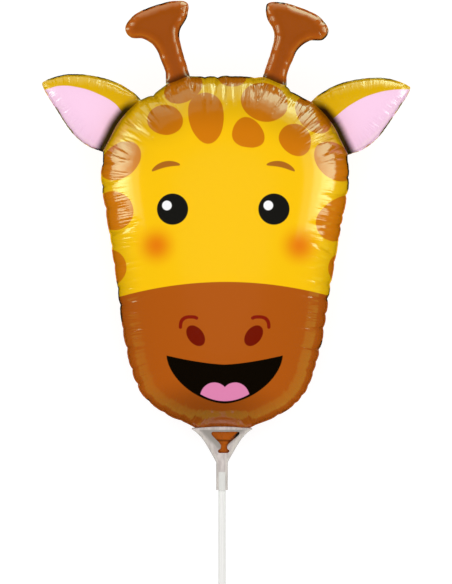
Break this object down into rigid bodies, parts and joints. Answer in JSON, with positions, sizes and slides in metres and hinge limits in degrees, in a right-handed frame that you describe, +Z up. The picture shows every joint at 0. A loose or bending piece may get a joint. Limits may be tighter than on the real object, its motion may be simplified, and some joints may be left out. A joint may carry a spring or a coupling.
{
  "type": "giraffe head foil balloon",
  "caption": "Inflated giraffe head foil balloon with ears and ossicones, gripped in a cup on a stick, lying on its back with the face up.",
  "frame": {"origin": "on the floor, in the flat spot on the balloon's back, below the middle of the face", "axes": "+Y from the stick towards the ossicones, along the floor; +Z up, out of the face; +X across the face"},
  "size_m": [0.2619, 0.6526, 0.1143],
  "materials": {
    "printed_foil": "glossy printed foil film, yellow and brown",
    "cup_plastic": "satin, translucent",
    "stick_plastic": "satin white"
  },
  "bodies": {
    "root": {"foil_balloon": "printed_foil", "holder_cup": "cup_plastic", "stick": "stick_plastic"}
  },
  "joints": []
}
